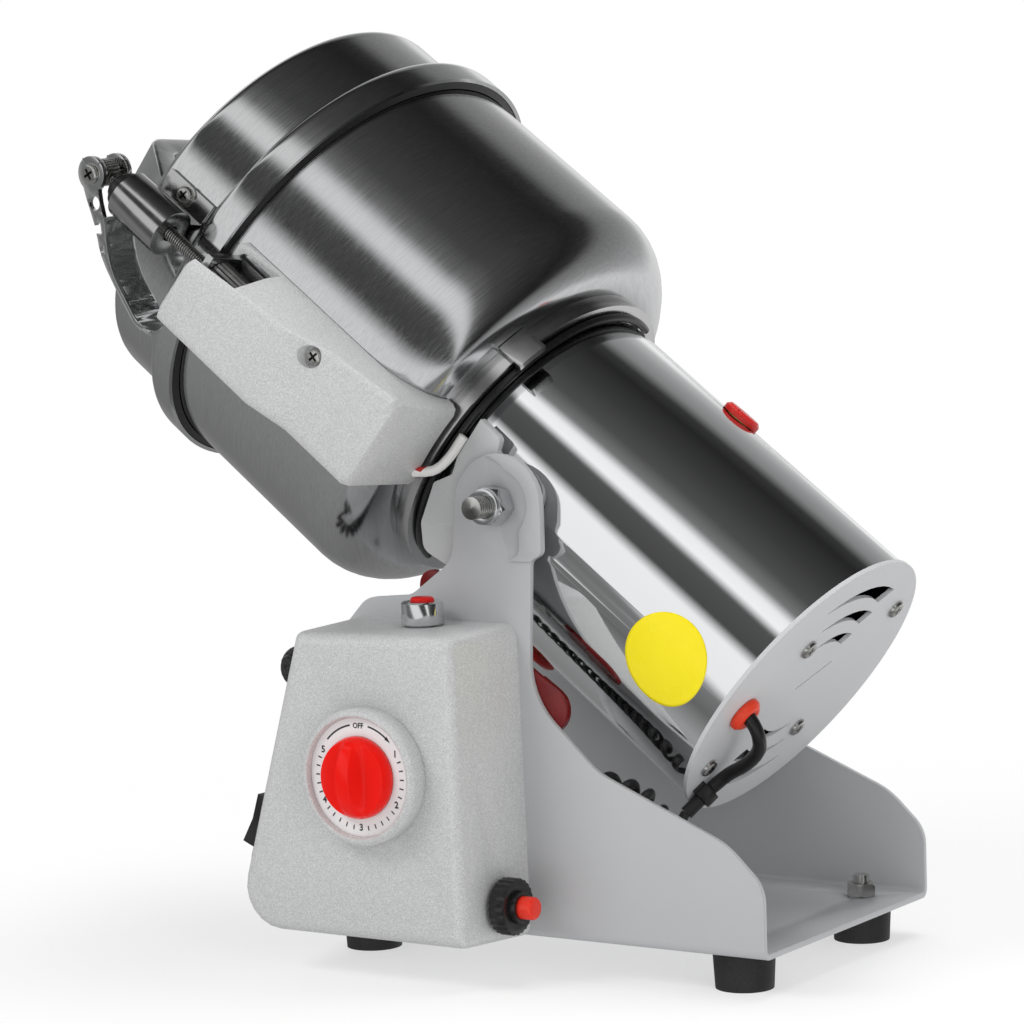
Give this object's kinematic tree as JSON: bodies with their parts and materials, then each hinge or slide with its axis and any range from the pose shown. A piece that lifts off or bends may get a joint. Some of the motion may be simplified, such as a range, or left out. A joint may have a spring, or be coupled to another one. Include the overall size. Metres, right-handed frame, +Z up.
{
  "type": "electric spice grinder",
  "caption": "Tilting dry grinder: a steel bowl and clamped lid on a motor tube that swings in a folded sheet tray, with a side control box and a curly lead.",
  "frame": {"origin": "centre of the four feet, on the table", "axes": "+X along the tray towards the motor's end, +Y away from the control box, +Z up"},
  "size_m": [0.3102, 0.205, 0.3394],
  "materials": {
    "grey_paint": "gloss light grey paint",
    "silver_paint": "metallic silver paint with fine sparkle",
    "cast_alloy": "satin cast",
    "chrome": "polished",
    "brushed_steel": "brushed round the axis",
    "polished_steel": "polished",
    "zinc": "bright zinc plate",
    "black_plastic": "fine matt",
    "red_plastic": "gloss red",
    "dark_red_dip": "dipped coating",
    "white_plastic": "smooth",
    "rubber": "matt black",
    "red_rubber": "soft sheen",
    "woven_sleeve": "woven glass sleeve",
    "cord_black": "satin cord jacket",
    "copper": "enamelled copper",
    "core_steel": "laminated steel",
    "brass": "turned",
    "carbon": "pressed carbon"
  },
  "bodies": {
    "base": {"base_tray": "grey_paint", "rubber_feet": "rubber", "foot_studs": "zinc", "control_box": "silver_paint", "timer_body": "black_plastic", "dial_ring": "silver_paint", "dial_disc": "white_plastic", "button_collar": "chrome", "reset_breaker": "black_plastic", "reset_nut": "black_plastic", "rocker_bezel": "black_plastic", "lead_gland": "black_plastic", "curly_lead": "cord_black", "lock_bolt": "zinc"},
    "knob": {"timer_shaft": "zinc", "timer_knob": "red_plastic"},
    "jog": {"jog_button": "red_plastic"},
    "reset": {"reset_button": "red_plastic"},
    "rocker": {"power_rocker": "black_plastic"},
    "lock": {"lock_lever": "dark_red_dip"},
    "head": {"motor_housing": "chrome", "end_plate": "grey_paint", "head_screws": "zinc", "lead_grommet": "red_rubber", "lead_sleeve": "cord_black", "lead_clip": "white_plastic", "neck_collar": "cast_alloy", "trunnion_plates": "grey_paint", "pivot_studs": "zinc", "pivot_nuts": "zinc", "bowl": "brushed_steel", "upper_frame": "cast_alloy", "lower_frame": "cast_alloy", "stator": "core_steel", "motor_bearings": "polished_steel", "brush_holders": "brass", "carbon_brushes": "carbon", "brush_caps": "red_plastic", "latch_box": "silver_paint", "latch_bracket": "polished_steel", "switch_lead": "cord_black", "switch_sleeve": "woven_sleeve", "lid_switch": "black_plastic"},
    "rotor": {"rotor_shaft": "polished_steel", "armature": "core_steel", "commutator": "copper", "cooling_fan": "black_plastic", "lower_blade": "polished_steel", "upper_blade": "polished_steel", "blade_nut": "zinc"},
    "lid": {"lid_shell": "brushed_steel", "lid_gasket": "rubber", "lid_handle": "cast_alloy", "strap_barrel": "polished_steel", "barrel_screw": "zinc", "barrel_bush": "black_plastic", "latch_rod": "zinc", "lever_pin": "zinc"},
    "lever": {"latch_lever": "chrome"},
    "nut": {"adjusting_nut": "chrome"}
  },
  "joints": [
    {"name": "head_swing", "type": "hinge", "parent": "base", "child": "head", "pos_m": [-0.006, 0, 0.1665], "axis": [0, 1, 0], "range_deg": [0, 51.7], "deforming": ["curly_lead"]},
    {"name": "rotor_spin", "type": "hinge", "parent": "head", "child": "rotor", "pos_m": [-0.006, 0, 0.1665], "axis": [-0.7848, 0, 0.6198], "continuous": true},
    {"name": "lid_lift", "type": "slide", "parent": "head", "child": "lid", "axis": [-0.7848, 0, 0.6198], "range_m": [0, 0.07]},
    {"name": "lever_swing", "type": "hinge", "parent": "lid", "child": "lever", "pos_m": [-0.14892, -0.09756, 0.28806], "axis": [0.0755, 0.9925, 0.0956], "range_deg": [0, 120]},
    {"name": "nut_turn", "type": "hinge", "parent": "head", "child": "nut", "pos_m": [-0.09438, -0.09756, 0.24499], "axis": [-0.7848, 0, 0.6198], "continuous": true},
    {"name": "timer_turn", "type": "hinge", "parent": "base", "child": "knob", "pos_m": [-0.0384, -0.099, 0.0745], "axis": [0, -1, 0], "range_deg": [0, 300]},
    {"name": "jog_press", "type": "slide", "parent": "base", "child": "jog", "axis": [0, 0, -1], "range_m": [0, 0.002], "stiffness_N_per_m": 400},
    {"name": "reset_press", "type": "slide", "parent": "base", "child": "reset", "axis": [-1, 0, 0], "range_m": [0, 0.0025], "stiffness_N_per_m": 400},
    {"name": "rocker_tip", "type": "hinge", "parent": "base", "child": "rocker", "pos_m": [-0.09021, -0.085, 0.05072], "axis": [0, 1, 0], "range_deg": [-14, 0]},
    {"name": "lock_turn", "type": "hinge", "parent": "base", "child": "lock", "pos_m": [-0.019, -0.06, 0.1182], "axis": [0, -1, 0], "range_deg": [0, 12]}
  ]
}
